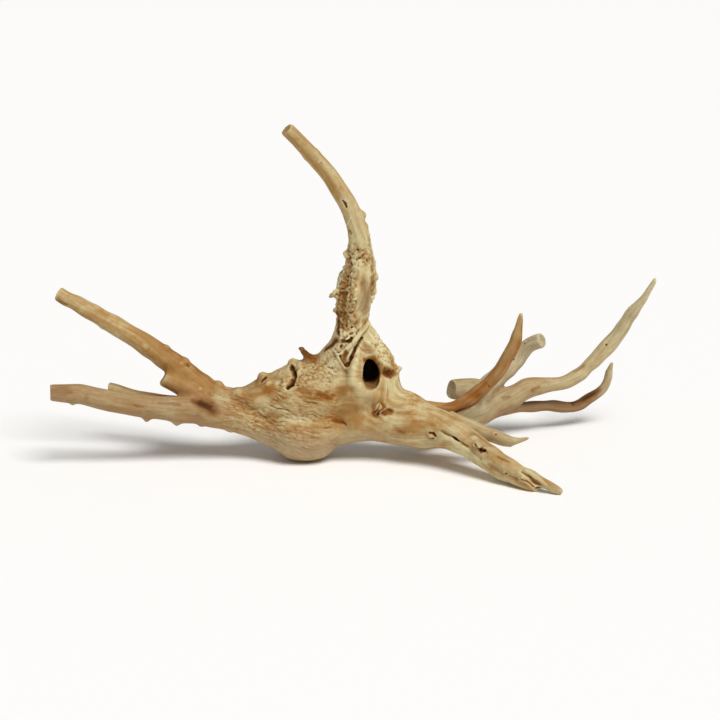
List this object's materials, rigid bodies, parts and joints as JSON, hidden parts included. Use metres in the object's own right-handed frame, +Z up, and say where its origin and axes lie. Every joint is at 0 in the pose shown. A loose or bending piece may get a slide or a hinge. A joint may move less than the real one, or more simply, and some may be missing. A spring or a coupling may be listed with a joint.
{
  "type": "spiderwood root",
  "caption": "Spiderwood root with a knotted, hollowed heart, a tall bent crown limb and slender pointed limbs spreading low to both sides; it lies on three low spots.",
  "frame": {"origin": "on the floor under the middle of the root's bounding box", "axes": "+Z up as it lies; +X along its length, towards the side with the front limb, the horn and the long sweeping limb; -Y is the side that the picture shows"},
  "size_m": [0.4048, 0.1594, 0.2267],
  "materials": {
    "wood": "bare sun-dried wood without bark, matt, pale straw to warm tan with fine long fibres, brown in its clefts, pits and knots"
  },
  "bodies": {
    "root": {"root": "wood"}
  },
  "joints": []
}
